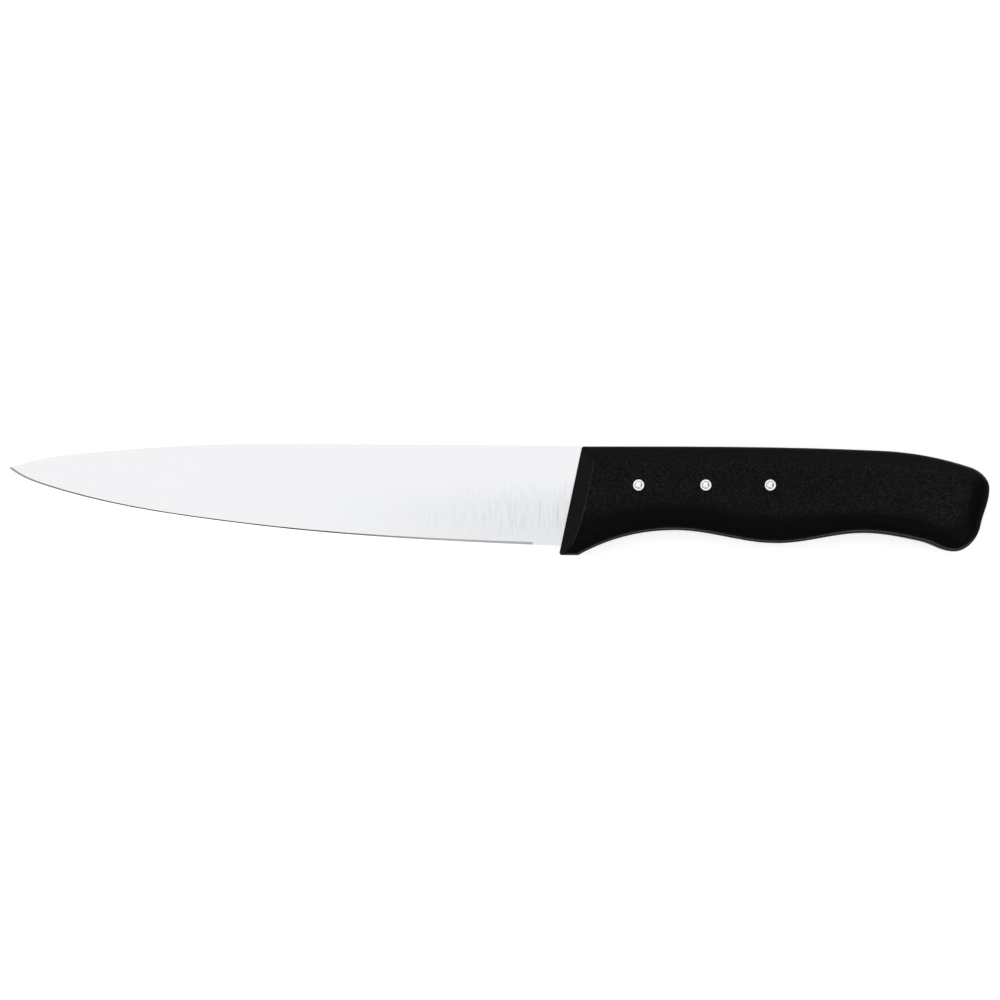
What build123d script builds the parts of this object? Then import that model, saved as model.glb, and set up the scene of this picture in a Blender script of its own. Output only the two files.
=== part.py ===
from build123d import *
import os
from math import cos, hypot, radians, sin, tan

# Carving knife lying on its side, in millimetres.
# +X runs from the tip to the butt, +Y from the edge to the spine, +Z up from the table.
# The origin is under the middle of the knife. Outlines are drawn on the blade's middle plane,
# from the corner where the handle's front meets its top line: depth is counted down from that line.

# Reach of the two ends from the handle's front top corner
blade_reach = 171.9
handle_reach = 122.0

# Blade
blade_thickness = 1.8
spine_crest = 0.8
heel_spine_rise = 0.15
tip_depth = 6.4
edge_heel_depth = 29.8
heel_edge_thickness = 0.5
tip_thickness = 0.45
sharpened_angle = 17
heel_left_blunt = 8.4

# Tang, the part of the blade inside the handle
tang_top_depth = 4.0
tang_cover = 5.95
tang_tail = 8.5
tang_corner = 3.0

# Handle
handle_thickness = 17.0
foot_depth = 32.6
front_lean = 12
underside_width = 5.0
front_land_width = 3.6
front_bevel_reach = 4.2
front_edge_radius = 0.7

# Rivets: a pin through the tang, and a dished rosette under each of its ends
front_rivet_at = 16.75
middle_rivet_at = 36.8
rear_rivet_at = 56.05
pin_radius = 0.8
pin_head_radius = 0.95
pin_dome = 0.12
rosette_radius = 1.62
rosette_height = 1.2
rosette_dish_radius = 1.22
rosette_dish_depth = 0.5
land_recess = 0.06

# Clearances
shoulder_gap = 0.1
slot_gap = 0.08
bore_gap = 0.05
rosette_gap = 0.04
overrun = 6.0

# The handle's side outline, from the foot round the butt to the front of the top line.
# Each row has the place along the handle as a share of its reach, the depth as a share of the
# foot's depth, and the heading in degrees.
waist_share = 0.770
rim_shares = (
    (-0.010, 1.000, 29),
    (0.228, waist_share, 0),
    (0.478, 0.890, 0),
    (0.690, 0.797, 0),
    (0.830, 0.871, -12),
    (0.913, 0.966, 0),
    (0.978, 0.729, 79),
    (1.000, 0.385, 90),
    (0.953, 0.190, 162),
    (0.732, 0.039, 177.4),
    (0.000, 0.000, 180),
)
# The outline of the flat land on each side, row by row in the same terms
land_shares = (
    (0.000, 0.500, 6),
    (0.228, 0.444, 0),
    (0.478, 0.560, 0),
    (0.690, 0.560, 0),
    (0.815, 0.600, -6),
    (0.884, 0.655, 0),
    (0.932, 0.560, 80),
    (0.945, 0.415, 90),
    (0.915, 0.315, 163),
    (0.730, 0.265, 178.5),
    (0.000, 0.250, 180),
)
# Length of a curve's handles, as a share of its chord
curve_share = 0.348
# Levels that round the handle's side, from its underside to its flat land
side_levels = 6

# The blade's outlines, from the tip to the heel: place forward of the handle as a share of the
# blade's reach, then, for the edge, depth as a share of the heel's depth, or, for the spine, fall
# as a share of the way from its crest down to the tip, and heading in degrees
edge_shares = (
    (0.932, 0.402, -17.1),
    (0.583, 0.781, -7.1),
)
tip_edge_heading = -41
heel_edge_heading = -2.3
spine_shares = (
    (0.903, 0.471, 6.0),
    (0.566, 0.000, 0.0),
)
tip_spine_heading = 20
heel_spine_heading = -0.8


# Places worked out from the sizes
half_handle = handle_thickness / 2
half_blade = blade_thickness / 2
front_x = (blade_reach - handle_reach) / 2
top_line_y = (foot_depth - spine_crest) / 2
waist_depth = waist_share * foot_depth
tang_bottom_depth = waist_depth - tang_cover
rivet_depth = (tang_top_depth + tang_bottom_depth) / 2
tang_end_at = rear_rivet_at + tang_tail
rivet_places = {"front": front_rivet_at, "middle": middle_rivet_at, "rear": rear_rivet_at}

middle_plane = Plane(origin=(front_x, top_line_y, half_handle))
left_land = middle_plane.offset(half_handle)
right_land = Plane(left_land.origin - (0, 0, handle_thickness), x_dir=(1, 0, 0), z_dir=(0, 0, -1))


def front_at(depth):
    """Place of the handle's leaning front at a depth below the top line."""
    return -depth * tan(radians(front_lean))


def curves(stations):
    """Draw a chain of smooth curves through stations of place, height and heading."""
    for (x0, y0, heading0), (x1, y1, heading1) in zip(stations, stations[1:]):
        handle = curve_share * hypot(x1 - x0, y1 - y0)
        Bezier(
            (x0, y0),
            (x0 + handle * cos(radians(heading0)), y0 + handle * sin(radians(heading0))),
            (x1 - handle * cos(radians(heading1)), y1 - handle * sin(radians(heading1))),
            (x1, y1),
        )


def edge_curve():
    """Draw the cutting edge as one smooth curve through its stations."""
    Spline(
        [(x, y) for x, y, heading in edge_stations],
        tangents=[(cos(radians(heading)), sin(radians(heading))) for x, y, heading in edge_stations],
    )


def handle_outline(plane, inset_share):
    """The handle's outline between its rim, at a share of 0, and its flat land, at 1."""
    stations = []
    for rim, land in zip(rim_shares, land_shares):
        along, depth, heading = (r + (l - r) * inset_share for r, l in zip(rim, land))
        stations.append((along * handle_reach, -depth * foot_depth, heading))
    foot_y = stations[0][1]
    top_y = stations[-1][1]
    forward_x = front_at(foot_depth) - overrun
    with BuildSketch(plane) as outline:
        with BuildLine():
            curves(stations)
            Polyline(
                (stations[-1][0], top_y),
                (forward_x, top_y),
                (forward_x, foot_y),
                (stations[0][0], foot_y),
            )
        make_face()
    return outline.sketch


# Stations of the blade's outlines on the middle plane
tip = (-blade_reach, -tip_depth)
heel_edge = (front_at(edge_heel_depth) - shoulder_gap, -edge_heel_depth)
heel_spine = (front_at(-heel_spine_rise) - shoulder_gap, heel_spine_rise)
edge_stations = [(*tip, tip_edge_heading)]
for along, depth, heading in edge_shares:
    edge_stations.append((-along * blade_reach, -depth * edge_heel_depth, heading))
edge_stations.append((*heel_edge, heel_edge_heading))
spine_stations = [(*tip, tip_spine_heading)]
for along, fall, heading in spine_shares:
    fallen_y = spine_crest - fall * (tip_depth + spine_crest)
    spine_stations.append((-along * blade_reach, fallen_y, heading))
spine_stations.append((*heel_spine, heel_spine_heading))


def tang_outline(gap):
    """The tang's outline, grown by a gap for the slot that takes it."""
    start = front_at(foot_depth) - overrun
    end = tang_end_at + gap
    top = gap - tang_top_depth
    bottom = -tang_bottom_depth - gap
    with BuildSketch(middle_plane) as outline:
        with BuildLine():
            FilletPolyline((start, top), (end, top), (end, bottom), (start, bottom), radius=tang_corner)
            Line((start, bottom), (start, top))
        make_face()
    return outline.sketch


# Handle: one moulded block with a rounded rim, a flat land on each side and a bevelled front
side_rise = (handle_thickness - underside_width) / 2
lean = radians(front_lean)
front_plan = Plane(
    origin=middle_plane.origin,
    x_dir=(cos(lean), -sin(lean), 0),
    z_dir=(-sin(lean), -cos(lean), 0),
)
with BuildPart() as handle:
    extrude(handle_outline(middle_plane, 0), amount=underside_width / 2, both=True)
    levels = []
    for level in range(side_levels + 1):
        turn = radians(90 * level / side_levels)
        plane = middle_plane.offset(underside_width / 2 + side_rise * sin(turn))
        levels.append(handle_outline(plane, 1 - cos(turn)))
    loft(levels)
    mirror(about=middle_plane)
    # The front leans with the blade's heel and is bevelled on both sides
    with BuildSketch(front_plan):
        with BuildLine():
            Polyline(
                (0, -front_land_width / 2),
                (0, front_land_width / 2),
                (front_bevel_reach, half_handle),
                (front_bevel_reach, half_handle + overrun),
                (handle_reach + foot_depth, half_handle + overrun),
                (handle_reach + foot_depth, -half_handle - overrun),
                (front_bevel_reach, -half_handle - overrun),
                (front_bevel_reach, -half_handle),
                close=True,
            )
        make_face()
    extrude(amount=handle_reach, both=True, mode=Mode.INTERSECT)
    land_and_bevels = handle.faces().filter_by(GeomType.PLANE).sort_by(lambda face: face.normal_at().X)[:3]
    fillet(land_and_bevels.edges(), radius=front_edge_radius)
    # Slot for the tang
    extrude(tang_outline(slot_gap), amount=half_blade + slot_gap, both=True, mode=Mode.SUBTRACT)
    # Bores for the pins, with a seat for a rosette in each land
    for land in (left_land, right_land):
        local_depth = -rivet_depth * land.z_dir.Z
        with Locations(land):
            with Locations(*[(at, local_depth) for at in rivet_places.values()]):
                CounterBoreHole(
                    radius=pin_radius + bore_gap,
                    counter_bore_radius=rosette_radius + rosette_gap,
                    counter_bore_depth=land_recess + rosette_height + rosette_gap,
                    depth=half_handle,
                )
handle.part.label = "handle"


# Blade: ground flat from spine to edge on both sides, with a full-thickness tang behind its heel
def ground_plane(side):
    """The blade's ground flat, facing out, on the left side, at 1, or the right side, at -1."""
    spine_point, edge_point, tip_point = (
        middle_plane.from_local_coords((*place, side * thickness / 2))
        for place, thickness in (
            (heel_spine, blade_thickness),
            (heel_edge, heel_edge_thickness),
            (tip, tip_thickness),
        )
    )
    normal = (tip_point - spine_point).cross(edge_point - spine_point)
    return Plane(origin=spine_point, x_dir=(1, 0, 0), z_dir=normal * side)


# What sharpening takes off: a block along the edge, less a body that tapers away from the edge
blunt_from = front_at(edge_heel_depth) - heel_left_blunt
with BuildPart() as sharpening_waste:
    with BuildSketch(middle_plane):
        with Locations((blunt_from, overrun)):
            Rectangle(
                blade_reach + overrun,
                edge_heel_depth + 2 * overrun,
                align=(Align.MAX, Align.MAX),
            )
    extrude(amount=half_blade, both=True)
    with BuildSketch(middle_plane):
        with BuildLine():
            edge_curve()
            Polyline(
                heel_edge,
                (overrun, -edge_heel_depth),
                (overrun, 2 * overrun),
                (-blade_reach, 2 * overrun),
                tip,
            )
        make_face()
    extrude(amount=blade_thickness, both=True, taper=90 - sharpened_angle, mode=Mode.SUBTRACT)

with BuildPart() as blade:
    with BuildSketch(middle_plane):
        with BuildLine():
            edge_curve()
            curves(spine_stations)
            Line(heel_edge, heel_spine)
        make_face()
    extrude(amount=half_blade, both=True)
    extrude(tang_outline(0), amount=half_blade, both=True)
    waste_reach = blade_reach + overrun
    waste_depth = edge_heel_depth + overrun
    for side in (1, -1):
        with BuildSketch(ground_plane(side)):
            with BuildLine():
                Polyline(
                    (overrun * tan(lean), side * overrun),
                    (-waste_depth * tan(lean), -side * waste_depth),
                    (-waste_reach, -side * waste_depth),
                    (-waste_reach, side * overrun),
                    close=True,
                )
            make_face()
        extrude(amount=blade_thickness, mode=Mode.SUBTRACT)
    add(sharpening_waste.part, mode=Mode.SUBTRACT)
    # Bores for the rivet pins, through the tang
    with Locations(middle_plane.offset(half_blade)):
        with Locations(*[(at, -rivet_depth) for at in rivet_places.values()]):
            Hole(radius=pin_radius + bore_gap, depth=blade_thickness)
blade.part.label = "blade"

# Rivets: each pin has a domed head at both ends, which lies in the dish of a rosette
face_height = half_handle - land_recess
rosette_bore_radius = pin_radius + bore_gap
dish_slope = rosette_dish_depth / (rosette_dish_radius - rosette_bore_radius)
head_seat_depth = (rosette_dish_radius - pin_head_radius - bore_gap) * dish_slope
head_base = face_height - head_seat_depth
flare_base = head_base - (pin_head_radius - pin_radius) * dish_slope
pins = []
rosettes = []
for place, at in rivet_places.items():
    centre = middle_plane.from_local_coords((at, -rivet_depth, 0))
    across = Plane(origin=centre, x_dir=(1, 0, 0), z_dir=(0, -1, 0))
    axis = Axis(centre, (0, 0, 1))
    with BuildPart() as pin:
        with BuildSketch(across):
            with BuildLine():
                TangentArc(
                    (0, face_height),
                    (pin_head_radius, face_height - pin_dome),
                    tangent=(1, 0),
                )
                Polyline(
                    (pin_head_radius, face_height - pin_dome),
                    (pin_head_radius, head_base),
                    (pin_radius, flare_base),
                    (pin_radius, 0),
                    (0, 0),
                    (0, face_height),
                )
            make_face()
            mirror(about=Plane.XZ)
        revolve(axis=axis)
    pin.part.label = f"{place}_rivet_pin"
    pins.append(pin.part)
    for hand, land in (("left", left_land), ("right", right_land)):
        with BuildPart() as rosette:
            with BuildSketch(across):
                with BuildLine():
                    Polyline(
                        (rosette_bore_radius, face_height - rosette_height),
                        (rosette_radius, face_height - rosette_height),
                        (rosette_radius, face_height),
                        (rosette_dish_radius, face_height),
                        (rosette_bore_radius, face_height - rosette_dish_depth),
                        close=True,
                    )
                make_face()
                if hand == "right":
                    mirror(about=Plane.XZ, mode=Mode.REPLACE)
            revolve(axis=axis)
        rosette.part.label = f"{place}_{hand}_rosette"
        rosettes.append(rosette.part)

os.makedirs("parts", exist_ok=True)
for piece in (handle.part, blade.part, *pins, *rosettes):
    export_step(piece, f"parts/{piece.label}.step")
    print(piece.label, round(piece.volume), "cubic mm")
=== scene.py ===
import math

import bmesh
import bpy
from bpy.props import FloatProperty, FloatVectorProperty, PointerProperty
from mathutils import Euler, Matrix, Vector


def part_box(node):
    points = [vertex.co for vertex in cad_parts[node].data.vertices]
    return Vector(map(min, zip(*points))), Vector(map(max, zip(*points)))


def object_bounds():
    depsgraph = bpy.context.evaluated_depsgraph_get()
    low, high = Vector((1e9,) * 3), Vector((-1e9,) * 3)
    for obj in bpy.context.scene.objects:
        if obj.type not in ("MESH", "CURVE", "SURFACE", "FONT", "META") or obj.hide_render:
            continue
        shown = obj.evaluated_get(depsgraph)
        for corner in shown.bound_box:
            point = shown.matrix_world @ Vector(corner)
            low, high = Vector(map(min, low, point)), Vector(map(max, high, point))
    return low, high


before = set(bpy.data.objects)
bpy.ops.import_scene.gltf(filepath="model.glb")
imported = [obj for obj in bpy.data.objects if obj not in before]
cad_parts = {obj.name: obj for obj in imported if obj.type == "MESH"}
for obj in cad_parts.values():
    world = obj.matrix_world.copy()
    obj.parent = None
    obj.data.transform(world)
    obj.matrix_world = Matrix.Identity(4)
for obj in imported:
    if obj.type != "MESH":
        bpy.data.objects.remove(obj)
cad_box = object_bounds()

bl_info = {
    "name": "Carving Knife",
    "version": (1, 0, 0),
    "blender": (4, 5, 0),
    "location": "View3D > Sidebar > Carving Knife",
    "description": "Finishes a carving knife's pieces and lights it in a small white studio",
    "category": "Object",
}

MM = 0.001
WHITE = (1.0, 1.0, 1.0, 1.0)
RIVET_PLACES = ("front", "middle", "rear")
RIVET_SIDES = ("left", "right")


# Shader maths

# Places of a Mix node's sockets for colours, which share their names with its other sockets
MIX_FACTOR, MIX_FIRST, MIX_SECOND, MIX_RESULT = 0, 6, 7, 2


class Wire:
    """An output socket that takes part in Python sums, each of which adds its Math node."""

    def __init__(self, finish, socket):
        self.finish = finish
        self.socket = socket

    def math(self, operation, *values, clamp=False):
        settings = {"operation": operation, "use_clamp": clamp}
        return self.finish.node("ShaderNodeMath", settings, values)

    def __add__(self, other):
        return self.math("ADD", self, other)

    def __radd__(self, other):
        return self.math("ADD", other, self)

    def __sub__(self, other):
        return self.math("SUBTRACT", self, other)

    def __rsub__(self, other):
        return self.math("SUBTRACT", other, self)

    def __mul__(self, other):
        return self.math("MULTIPLY", self, other)

    def __rmul__(self, other):
        return self.math("MULTIPLY", other, self)

    def size(self):
        """The number without its sign."""
        return self.math("ABSOLUTE", self)

    def rise(self, low, high):
        """A smooth rise from 0 at low to 1 at high."""
        settings = {"interpolation_type": "SMOOTHSTEP"}
        return self.finish.node("ShaderNodeMapRange", settings, (self, low, high))

    def fall(self, low, high):
        """A smooth fall from 1 at low to 0 at high."""
        return 1 - self.rise(low, high)


class Finish:
    """The node tree of a material or of the world. Every node comes from node()."""

    def __init__(self, owner):
        owner.use_nodes = True
        self.owner = owner
        self.tree = owner.node_tree
        self.tree.nodes.clear()

    def node(self, kind, settings=None, values=(), output=0):
        """Adds a node: its settings first, then its sockets' values or links, named or in order."""
        made = self.tree.nodes.new(kind)
        for name, setting in (settings or {}).items():
            setattr(made, name, setting)
        for socket, value in values.items() if isinstance(values, dict) else enumerate(values):
            if isinstance(value, Wire):
                self.tree.links.new(value.socket, made.inputs[socket])
            else:
                made.inputs[socket].default_value = value
        return Wire(self, made.outputs[output]) if len(made.outputs) else None

    def place(self):
        """The object's own coordinates, in metres."""
        return self.node("ShaderNodeTexCoord", output="Object")

    def facing(self):
        """How far a face points along each of the object's axes, from -1 to 1."""
        return self.axes(self.node("ShaderNodeTexCoord", output="Normal"))

    def axes(self, vector):
        """A vector's three numbers."""
        split = self.node("ShaderNodeSeparateXYZ", values={"Vector": vector})
        return tuple(Wire(self, socket) for socket in split.socket.node.outputs)

    def scaled(self, place, *sizes):
        """Coordinates for a pattern whose unit has a size along each axis, or one along all."""
        scale = [1 / size for size in (sizes if len(sizes) > 1 else sizes * 3)]
        return self.node(
            "ShaderNodeMapping", {"vector_type": "POINT"}, {"Vector": place, "Scale": scale},
        )

    def noise(self, place, detail=2.0, roughness=0.5):
        """Noise from 0 to 1 over scaled coordinates."""
        values = {"Vector": place, "Scale": 1.0, "Detail": detail, "Roughness": roughness}
        return self.node("ShaderNodeTexNoise", {"noise_dimensions": "3D"}, values)

    def cells(self, place):
        """The distance from the middle of a cell of grain, and a number from 0 to 1 for it."""
        values = {"Vector": place, "Scale": 1.0}
        distance = self.node("ShaderNodeTexVoronoi", {"voronoi_dimensions": "3D"}, values)
        shade = self.axes(Wire(self, distance.socket.node.outputs["Color"]))[0]
        return distance, shade

    def mix(self, factor, first, second):
        """A colour between two others."""
        values = {MIX_FACTOR: factor, MIX_FIRST: first, MIX_SECOND: second}
        return self.node("ShaderNodeMix", {"data_type": "RGBA"}, values, output=MIX_RESULT)

    def bump(self, height, depth):
        """A normal from a height of 0 to 1 that stands for a depth in metres."""
        values = {"Strength": 1.0, "Distance": depth, "Height": height}
        return self.node("ShaderNodeBump", values=values)

    def surface(self, **values):
        """The shader and the output, which end the tree. Underscores in a name stand for spaces."""
        named = {name.replace("_", " "): value for name, value in values.items()}
        shader = self.node("ShaderNodeBsdfPrincipled", values=named)
        self.node("ShaderNodeOutputMaterial", values={"Surface": shader})
        return self.owner

    def seen(self):
        """1 for what the camera, a gloss or a clear material sees, and 0 for what only lights."""
        path = self.node("ShaderNodeLightPath").socket.node
        camera, gloss, clear = (
            Wire(self, path.outputs[f"Is {kind} Ray"])
            for kind in ("Camera", "Glossy", "Transmission")
        )
        either = camera + gloss
        return either.math("ADD", either, clear, clamp=True)


def rgba(colour):
    """A colour property with its alpha."""
    return (*colour, 1.0)


# Sizes and colours that a user would change

class BladeSettings(bpy.types.PropertyGroup):
    steel: FloatVectorProperty(
        name="Steel", description="Colour of the ground steel",
        default=(0.915, 0.92, 0.933), min=0, max=1, subtype="COLOR", size=3,
    )
    # Real grinding marks and the painted shade near the heel both lead to this colour
    marked_and_shaded_steel: FloatVectorProperty(
        name="Marked steel", description="Colour that the haze and the grinding marks lead to",
        default=(0.70, 0.75, 0.785), min=0, max=1, subtype="COLOR", size=3,
    )
    # Painted dark reflection on the sharpened edge, darkest midway along the blade
    edge_painted_reflection: FloatVectorProperty(
        name="Edge steel", description="Colour of the sharpened edge midway along the blade",
        default=(0.05, 0.052, 0.055), min=0, max=1, subtype="COLOR", size=3,
    )
    # Painted shade: how much darker the steel near the heel is painted
    painted_heel_shade: FloatProperty(
        name="Shade", description="Strength of the dull haze near the heel",
        default=0.23, min=0, max=1, subtype="FACTOR",
    )
    marks: FloatProperty(
        name="Marks", description="Strength of the grinding marks",
        default=0.75, min=0, max=1, subtype="FACTOR",
    )
    heel_marks: FloatProperty(
        name="Heel marks", description="What the grinding marks gain in strength at the heel",
        default=0.4, min=0, max=1, subtype="FACTOR",
    )
    mark_pitch: FloatProperty(
        name="Mark pitch", description="Distance between grinding marks along the blade",
        default=0.42 * MM, unit="LENGTH",
    )
    mark_length: FloatProperty(
        name="Mark length", description="Length of a grinding mark from spine to edge",
        default=9 * MM, unit="LENGTH",
    )
    mark_depth: FloatProperty(
        name="Mark depth", description="Depth of a grinding mark",
        default=0.002 * MM, unit="LENGTH",
    )
    roughness: FloatProperty(
        name="Roughness", description="Roughness of the steel where it is smoothest",
        default=0.2, min=0, max=1, subtype="FACTOR",
    )


class HandleSettings(bpy.types.PropertyGroup):
    plastic: FloatVectorProperty(
        name="Plastic", description="Colour of the moulded plastic",
        default=(0.0025, 0.0025, 0.0026), min=0, max=1, subtype="COLOR", size=3,
    )
    # Colour of the painted highlights on the grain's high points
    grain_glint: FloatVectorProperty(
        name="Grain highlight", description="Colour of the grain's high points",
        default=(0.02, 0.02, 0.02), min=0, max=1, subtype="COLOR", size=3,
    )
    # Colour of the painted highlights along the lower rim and the front's inner edge
    painted_highlight: FloatVectorProperty(
        name="Highlighted plastic", description="Colour of the lower rim and of the front's inner edge",
        default=(0.06, 0.06, 0.06), min=0, max=1, subtype="COLOR", size=3,
    )
    gloss: FloatProperty(
        name="Gloss", description="Weight of the plastic's smooth skin",
        default=0.15, min=0, max=1, subtype="FACTOR",
    )
    rim_gloss: FloatProperty(
        name="Rim gloss", description="Weight that the smooth skin gains round the rim",
        default=0.5, min=0, max=1, subtype="FACTOR",
    )
    gloss_roughness: FloatProperty(
        name="Gloss roughness", description="Roughness of the plastic's smooth skin",
        default=0.32, min=0, max=1, subtype="FACTOR",
    )
    roughness: FloatProperty(
        name="Roughness", description="Roughness of the plastic round the rim",
        default=0.35, min=0, max=1, subtype="FACTOR",
    )
    grain_pitch: FloatProperty(
        name="Grain pitch", description="Size of the moulded grain",
        default=0.32 * MM, unit="LENGTH",
    )
    grain_depth: FloatProperty(
        name="Grain depth", description="Depth of the moulded grain",
        default=0.012 * MM, unit="LENGTH",
    )
    patch_size: FloatProperty(
        name="Patch size", description="Size of the patches where the grain's high points shine",
        default=9 * MM, unit="LENGTH",
    )


class RivetSettings(bpy.types.PropertyGroup):
    metal: FloatVectorProperty(
        name="Metal", description="Colour of the rivets",
        default=(0.985, 0.985, 0.98), min=0, max=1, subtype="COLOR", size=3,
    )
    dull_metal: FloatVectorProperty(
        name="Dull metal", description="Colour of the rivets' dull patches",
        default=(0.86, 0.86, 0.85), min=0, max=1, subtype="COLOR", size=3,
    )
    patch_size: FloatProperty(
        name="Patch size", description="Size of the rivets' dull patches",
        default=0.5 * MM, unit="LENGTH",
    )
    patch_depth: FloatProperty(
        name="Patch depth", description="Height of the rivets' dull patches",
        default=0.002 * MM, unit="LENGTH",
    )
    roughness: FloatProperty(
        name="Roughness", description="Roughness of the metal where it is smoothest",
        default=0.12, min=0, max=1, subtype="FACTOR",
    )


class StudioSettings(bpy.types.PropertyGroup):
    photo_width: FloatProperty(
        name="Picture width", description="Width of the picture at the blade's middle",
        default=300 * MM, unit="LENGTH",
    )
    centre_along: FloatProperty(
        name="Centre along", description="Place of the picture's centre along the knife",
        default=0.35 * MM, unit="LENGTH",
    )
    centre_across: FloatProperty(
        name="Centre across", description="Place of the picture's centre across the knife",
        default=-0.15 * MM, unit="LENGTH",
    )
    camera_height: FloatProperty(
        name="Camera height", description="Height of the camera above the blade's middle",
        default=1.5, unit="LENGTH",
    )
    sky: FloatProperty(
        name="Sky", description="Strength of the light from all round", default=0.85, min=0,
    )
    lamp: FloatProperty(
        name="Lamp", description="Power of the soft lamp above", default=3.0, min=0, unit="POWER",
    )
    lamp_size: FloatProperty(
        name="Lamp size", description="Width of the soft lamp", default=1.2, unit="LENGTH",
    )
    lamp_place: FloatVectorProperty(
        name="Lamp place", description="Place of the soft lamp, which points at the knife",
        default=(-0.5, 0.6, 1.3), subtype="TRANSLATION", unit="LENGTH", size=3,
    )
    card_distance: FloatProperty(
        name="Card distance", description="Distance of the upright cards from the knife",
        default=0.6, unit="LENGTH",
    )
    card_start: FloatProperty(
        name="Card start", description="Angle off the upright, from the knife, of the cards' tops",
        default=math.radians(18), subtype="ANGLE",
    )
    card_side: FloatProperty(
        name="Card side", description="How far the cards reach from the knife's middle",
        default=0.42, unit="LENGTH",
    )
    card_gap: FloatProperty(
        name="Card gap", description="Height of the flat card beside the spine",
        default=3 * MM, unit="LENGTH",
    )
    edge_tone: FloatProperty(
        name="Edge card's tone", description="Brightness of the tall card past the cutting edge",
        default=0.42, min=0,
    )
    back_tone: FloatProperty(
        name="Back card's tone", description="Brightness of the low card past the spine",
        default=0.7, min=0,
    )
    butt_tone: FloatProperty(
        name="Butt card's tone", description="Brightness of the tall card past the butt",
        default=0.1, min=0,
    )
    spine_tone: FloatProperty(
        name="Spine card's tone", description="Brightness of the flat card beside the spine",
        default=0.45, min=0,
    )
    floor_grey: FloatVectorProperty(
        name="Floor", description="Colour of the floor in the light",
        default=(0.8, 0.8, 0.8), min=0, max=1, subtype="COLOR", size=3,
    )
    floor_white: FloatProperty(
        name="Floor white", description="What lifts the floor to white outside its shadow",
        default=0.55, min=0,
    )
    floor_radius: FloatProperty(
        name="Floor radius", description="Radius of the round floor", default=12.0, unit="LENGTH",
    )


# Finishes. A pair says where something starts to rise or fall, and where that ends: along the
# knife from tip to butt, across it from edge to spine, in a pattern's own numbers, or in how far
# a face points along an axis.

# Ground steel
# Where the painted shade near the heel, its grinding marks and its extra roughness lie
HEEL_ALONG = (-75 * MM, 25 * MM)
HEEL_ACROSS = (-5 * MM, 9 * MM)
MARKS_ALONG = (-60 * MM, 0)
MARKS_ACROSS = (-14 * MM, -7 * MM)
HEEL_MARKS_ALONG = (-10 * MM, 20 * MM)
FINE_MARKS = (0.42, 0.75)
BROAD_MARKS = (0.1, 0.6)
# Pitch and length of the broad marks, against those of the fine ones
BROAD_PITCHES = 5
BROAD_LENGTHS = 2
MARKS_DETAIL = 3.0
MARKS_ROUGHNESS = 0.6
# What the marks and the rougher steel near the heel add to the roughness
ROUGHENING = 0.08
# The sharpened edge, and the place and the reach to both sides of the painted dark reflection at
# its middle
BEVEL_DOWNWARD = (0.1, 0.2)
PAINTED_DARK_EDGE_AT = -85 * MM
PAINTED_DARK_EDGE_REACH = (20 * MM, 75 * MM)


def ground_steel(settings):
    """Satin steel, rougher near the heel, with fine grinding marks across it there, painted shade
    there and a painted dark reflection on the sharpened edge.
    """
    finish = Finish(bpy.data.materials.new("ground_steel"))
    place = finish.place()
    along, across, _ = finish.axes(place)
    downward = 0 - finish.facing()[1]
    pitch = settings.mark_pitch
    length = settings.mark_length
    fine = finish.noise(
        finish.scaled(place, pitch, length, length), detail=MARKS_DETAIL, roughness=MARKS_ROUGHNESS,
    )
    broad_length = BROAD_LENGTHS * length
    broad = finish.noise(finish.scaled(place, BROAD_PITCHES * pitch, broad_length, broad_length))
    heel = along.rise(*HEEL_ALONG) * across.fall(*HEEL_ACROSS)
    marks = heel * along.rise(*MARKS_ALONG) * across.rise(*MARKS_ACROSS)
    marks = marks * fine.rise(*FINE_MARKS) * broad.rise(*BROAD_MARKS)
    strength = settings.marks + along.rise(*HEEL_MARKS_ALONG) * settings.heel_marks
    # The grinding marks are real; the darker steel across the heel is painted shade
    ground = finish.mix(
        marks * strength + heel * settings.painted_heel_shade, rgba(settings.steel), rgba(settings.marked_and_shaded_steel),
    )
    # Painted dark reflection: the sharpened edge is painted near black, most of all midway along
    # the blade
    bevel = downward.rise(*BEVEL_DOWNWARD)
    painted_dark_edge = bevel * (along - PAINTED_DARK_EDGE_AT).size().fall(*PAINTED_DARK_EDGE_REACH)
    return finish.surface(
        Base_Color=finish.mix(painted_dark_edge, ground, rgba(settings.edge_painted_reflection)),
        Metallic=1.0,
        Roughness=settings.roughness + fine * ROUGHENING + heel * ROUGHENING,
        Normal=finish.bump(fine, settings.mark_depth),
    )


# Moulded plastic
SIDE_UPRIGHT = (0.72, 0.97)
RIM_UPRIGHT = (0.1, 0.45)
TOP_UPWARD = (0.3, 0.7)
FRONT_FORWARD = (0.35, 0.6)
# The rounded edge between the front's bevel and the side, where a highlight is painted, and where
# along the knife it ends
EASED_FORWARD_RISE = (0.08, 0.2)
EASED_FORWARD_FALL = (0.35, 0.5)
EASED_UPRIGHT = (0.85, 0.92)
EASED_ALONG = (32 * MM, 38 * MM)
EASED_HIGHLIGHT = 0.1
EASED_GRAIN = 0.4
# The painted highlight along the underside's rim
UNDER_DOWNWARD = (0.4, 0.7)
UNDER_UPRIGHT_RISE = (0.44, 0.51)
UNDER_UPRIGHT_FALL = (0.53, 0.62)
# The part of the side that turns downward, and how much of the side's grain, gloss and painted
# glints it loses, which paints it darker there as shade
LOW_DOWNWARD = (0.03, 0.25)
LOW_LOSS = 0.6
# Grain, and the painted highlights on its high points
GLINT_SIZE = (0.2, 0.5)
GLINT_SHADE = (0.45, 1)
GLINT_PATCHES = (0.25, 0.6)
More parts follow.
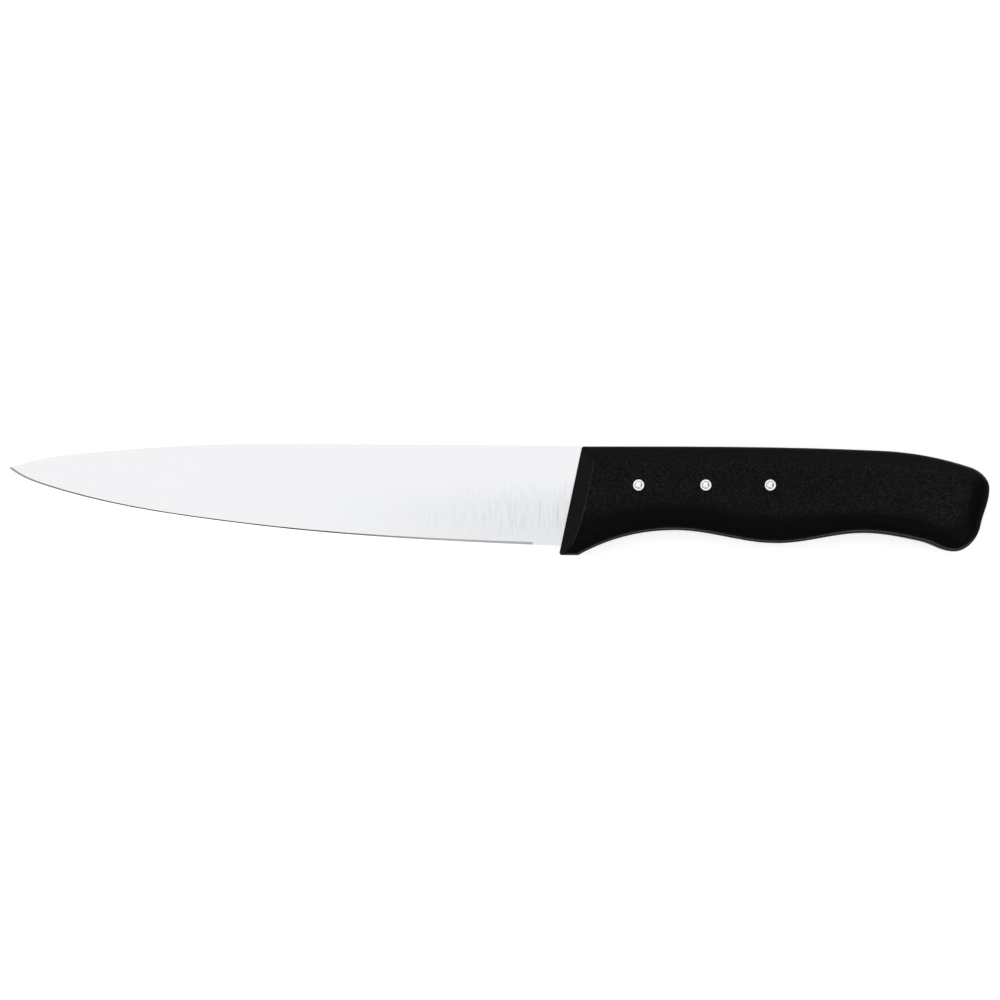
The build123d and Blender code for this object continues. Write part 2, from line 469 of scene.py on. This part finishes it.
# Gloss: its even share and those of the side and the front, and what it gains towards the butt
EVEN_GLOSS = 0.3
SIDE_GLOSS = 0.7
FRONT_GLOSS = 0.5
SIDE_SHEEN = 0.95
BUTT_SHEEN = 0.3
BUTT_ALONG = (90 * MM, 140 * MM)
# What the grain adds to the roughness
GRAIN_ROUGHENING = 0.25


def moulded_plastic(settings):
    """Black plastic: a moulded grain on the sides with painted highlights on its high points, a
    smoother rim, and painted highlights along the lower rim and the front's inner edge.
    """
    finish = Finish(bpy.data.materials.new("moulded_plastic"))
    place = finish.place()
    along = finish.axes(place)[0]
    backward, upward, out = finish.facing()
    upright = out.size()
    forward = 0 - backward
    downward = 0 - upward
    rim = upright.fall(*RIM_UPRIGHT)
    front = forward.rise(*FRONT_FORWARD)
    top = upward.rise(*TOP_UPWARD)
    eased_edge_highlight = forward.rise(*EASED_FORWARD_RISE) * forward.fall(*EASED_FORWARD_FALL)
    eased_edge_highlight = eased_edge_highlight * upright.rise(*EASED_UPRIGHT) * along.fall(*EASED_ALONG)
    under_highlight = upright.rise(*UNDER_UPRIGHT_RISE) * upright.fall(*UNDER_UPRIGHT_FALL)
    under_highlight = downward.rise(*UNDER_DOWNWARD) * under_highlight
    side = upright.rise(*SIDE_UPRIGHT) * (1 - downward.rise(*LOW_DOWNWARD) * LOW_LOSS)
    grain, shade = finish.cells(finish.scaled(place, settings.grain_pitch))
    patches = finish.noise(finish.scaled(place, settings.patch_size))
    # Painted highlights on the grain's high points, in patches on the side
    grain_glints = grain.fall(*GLINT_SIZE) * shade.rise(*GLINT_SHADE)
    grain_glints = grain_glints * side * patches.rise(*GLINT_PATCHES)
    plastic_and_glints = finish.mix(grain_glints, rgba(settings.plastic), rgba(settings.grain_glint))
    # Painted highlights along the underside's rim and the front's inner edge
    painted_highlight = under_highlight + eased_edge_highlight * (EASED_HIGHLIGHT + shade * EASED_GRAIN)
    sheen = SIDE_SHEEN + along.rise(*BUTT_ALONG) * BUTT_SHEEN
    # Each cell of grain has more or less gloss than the next
    sheen = sheen * (1 + side * (shade * 2 - 1))
    gloss = EVEN_GLOSS + side * SIDE_GLOSS * sheen + front * FRONT_GLOSS + top
    return finish.surface(
        Base_Color=finish.mix(painted_highlight, plastic_and_glints, rgba(settings.painted_highlight)),
        Roughness=settings.roughness + side * GRAIN_ROUGHENING,
        Specular_IOR_Level=0.0,
        Coat_Weight=settings.gloss * gloss + rim * settings.rim_gloss,
        Coat_Roughness=settings.gloss_roughness,
        Normal=finish.bump(grain * side, settings.grain_depth),
    )


# Rivet metal: where its patches turn dull, and what they add to the roughness
DULL_PATCHES = (0.45, 0.7)
PATCH_ROUGHENING = 0.12


def rivet_metal(settings):
    """Satin metal of the rivets' pins and rosettes, with dull patches."""
    finish = Finish(bpy.data.materials.new("rivet_metal"))
    patches = finish.noise(finish.scaled(finish.place(), settings.patch_size))
    dull = patches.rise(*DULL_PATCHES)
    return finish.surface(
        Base_Color=finish.mix(dull, rgba(settings.metal), rgba(settings.dull_metal)),
        Metallic=1.0,
        Roughness=settings.roughness + patches * PATCH_ROUGHENING,
        Normal=finish.bump(patches, settings.patch_depth),
    )


def dress(node, material):
    """Gives a fixed node its finish."""
    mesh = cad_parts[node].data
    mesh.materials.clear()
    mesh.materials.append(material)


# Studio

FLOOR_SIDES = 64
# Turns of the cards: upright along the knife, upright across its end, and flat
QUARTER = math.radians(90)
ALONG_KNIFE = (QUARTER, 0, 0)
ACROSS_END = (0, -QUARTER, 0)
FLAT = (0, 0, 0)
# What bmesh calls the size of a square whose sides are 1
UNIT_SQUARE = 0.5
# What the cards don't show to, so that only reflections show them
HIDDEN_RAYS = ("camera", "diffuse", "transmission", "volume_scatter", "shadow")


def add_piece(name, made, material):
    """An object in the scene from a bmesh."""
    mesh = bpy.data.meshes.new(name)
    made.to_mesh(mesh)
    made.free()
    mesh.materials.append(material)
    piece = bpy.data.objects.new(name, mesh)
    bpy.context.scene.collection.objects.link(piece)
    return piece


# Operators

class KNIFE_OT_blade(bpy.types.Operator):
    """Finishes the blade"""
    bl_idname = "knife.blade"
    bl_label = "Blade"

    def execute(self, context):
        dress("blade", ground_steel(context.scene.knife_blade))
        return {"FINISHED"}


class KNIFE_OT_handle(bpy.types.Operator):
    """Finishes the moulded handle"""
    bl_idname = "knife.handle"
    bl_label = "Handle"

    def execute(self, context):
        dress("handle", moulded_plastic(context.scene.knife_handle))
        return {"FINISHED"}


class KNIFE_OT_rivets(bpy.types.Operator):
    """Finishes the rivets' pins and rosettes"""
    bl_idname = "knife.rivets"
    bl_label = "Rivets"

    def execute(self, context):
        metal = rivet_metal(context.scene.knife_rivets)
        for place in RIVET_PLACES:
            dress(f"{place}_rivet_pin", metal)
            for side in RIVET_SIDES:
                dress(f"{place}_{side}_rosette", metal)
        return {"FINISHED"}


class KNIFE_OT_studio(bpy.types.Operator):
    """Makes the floor, the lights and the camera"""
    bl_idname = "knife.studio"
    bl_label = "Studio"

    def execute(self, context):
        studio = context.scene.knife_studio
        self.make_world(context.scene, studio)
        self.make_floor(studio)
        self.make_cards(studio)
        self.make_lamp(context.scene, studio)
        self.make_camera(context.scene, studio)
        context.scene.view_settings.view_transform = "Standard"
        return {"FINISHED"}

    def make_world(self, scene, studio):
        """An even light from all round that is seen as white."""
        scene.world = bpy.data.worlds.new("white_studio")
        sky = Finish(scene.world)
        strength = studio.sky + sky.seen() * (1 - studio.sky)
        glow = sky.node("ShaderNodeBackground", values={"Color": WHITE, "Strength": strength})
        sky.node("ShaderNodeOutputWorld", values={"Surface": glow})

    def make_floor(self, studio):
        """A pale floor that keeps the knife's shadow and is otherwise seen as white."""
        finish = Finish(bpy.data.materials.new("floor_white"))
        matte = finish.node("ShaderNodeBsdfDiffuse", values={"Color": rgba(studio.floor_grey)})
        glow = finish.node("ShaderNodeEmission", values={"Strength": studio.floor_white})
        both = finish.node("ShaderNodeAddShader", values=(matte, glow))
        shown = finish.node("ShaderNodeMixShader", values=(finish.seen(), matte, both))
        finish.node("ShaderNodeOutputMaterial", values={"Surface": shown})
        made = bmesh.new()
        bmesh.ops.create_circle(
            made, cap_ends=True, cap_tris=False, segments=FLOOR_SIDES, radius=studio.floor_radius,
        )
        floor = add_piece("floor", made, finish.owner)

    def make_cards(self, studio):
        """Grey cards that only reflections show.

        A tall one stands past the edge, a low one past the spine and a tall one past the butt,
        and one lies beside the spine.
        """
        low, high = cad_box
        far = studio.card_distance
        tall = far / math.tan(studio.card_start)
        side = studio.card_side
        # The cards along the knife reach further past its tip than past its butt
        middle = side / 2 - far
        length = side + 2 * far
        past_edge = (middle, low.y - far, tall / 2)
        past_spine = (middle, high.y + far, far / 2)
        past_butt = (high.x + far, 0, tall / 2)
        beside_spine = (0, high.y + far / 2, studio.card_gap)
        # Name, tone, place of the middle, turn, and size before the turn
        cards = (
            ("edge_card", studio.edge_tone, past_edge, ALONG_KNIFE, (length, tall)),
            ("back_card", studio.back_tone, past_spine, ALONG_KNIFE, (length, far)),
            ("butt_card", studio.butt_tone, past_butt, ACROSS_END, (tall, 2 * side)),
            ("spine_card", studio.spine_tone, beside_spine, FLAT, (2 * side, far)),
        )
        for name, tone, centre, turn, size in cards:
            finish = Finish(bpy.data.materials.new(name))
            glow = finish.node("ShaderNodeEmission", values={"Strength": tone})
            finish.node("ShaderNodeOutputMaterial", values={"Surface": glow})
            place = Matrix.LocRotScale(Vector(centre), Euler(turn), Vector((*size, 1)))
            made = bmesh.new()
            bmesh.ops.create_grid(
                made, x_segments=1, y_segments=1, size=UNIT_SQUARE, matrix=place,
            )
            card = add_piece(name, made, finish.owner)
            for ray in HIDDEN_RAYS:
                setattr(card, f"visible_{ray}", False)

    def make_lamp(self, scene, studio):
        """A soft lamp above the knife, which no reflection shows."""
        light = bpy.data.lights.new("soft_lamp", "AREA")
        light.shape = "DISK"
        light.size = studio.lamp_size
        light.energy = studio.lamp
        lamp = bpy.data.objects.new("soft_lamp", light)
        lamp.location = studio.lamp_place
        lamp.rotation_euler = (-lamp.location).to_track_quat("-Z", "Y").to_euler()
        lamp.visible_glossy = False
        scene.collection.objects.link(lamp)

    def make_camera(self, scene, studio):
        """A camera that looks straight down and frames the picture's width at the blade."""
        camera = bpy.data.objects.new("camera", bpy.data.cameras.new("camera"))
        scene.collection.objects.link(camera)
        scene.camera = camera
        low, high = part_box("blade")
        height = (low.z + high.z) / 2 + studio.camera_height
        camera.location = (studio.centre_along, studio.centre_across, height)
        camera.data.lens = camera.data.sensor_width * studio.camera_height / studio.photo_width


# Each operator with its settings, in the order of making
STEPS = (
    (KNIFE_OT_blade, BladeSettings),
    (KNIFE_OT_handle, HandleSettings),
    (KNIFE_OT_rivets, RivetSettings),
    (KNIFE_OT_studio, StudioSettings),
)
# The scene's name for each group of settings
GROUPS = {
    BladeSettings: "knife_blade",
    HandleSettings: "knife_handle",
    RivetSettings: "knife_rivets",
    StudioSettings: "knife_studio",
}


class KNIFE_PT_panel(bpy.types.Panel):
    """Lists the steps that finish and light the knife"""
    bl_idname = "KNIFE_PT_panel"
    bl_label = "Carving Knife"
    bl_space_type = "VIEW_3D"
    bl_region_type = "UI"
    bl_category = "Carving Knife"

    def draw(self, context):
        for operator, settings in STEPS:
            box = self.layout.box()
            box.operator(operator.bl_idname)
            for name in settings.__annotations__:
                box.prop(getattr(context.scene, GROUPS[settings]), name)


def register():
    for settings, name in GROUPS.items():
        bpy.utils.register_class(settings)
        setattr(bpy.types.Scene, name, PointerProperty(type=settings))
    for operator, _ in STEPS:
        bpy.utils.register_class(operator)
    bpy.utils.register_class(KNIFE_PT_panel)


def unregister():
    bpy.utils.unregister_class(KNIFE_PT_panel)
    for operator, _ in STEPS:
        bpy.utils.unregister_class(operator)
    for settings, name in GROUPS.items():
        delattr(bpy.types.Scene, name)
        bpy.utils.unregister_class(settings)


def main():
    register()
    for operator, _ in STEPS:
        group, name = operator.bl_idname.split(".")
        getattr(getattr(bpy.ops, group), name)()


if __name__ == "__main__":
    main()
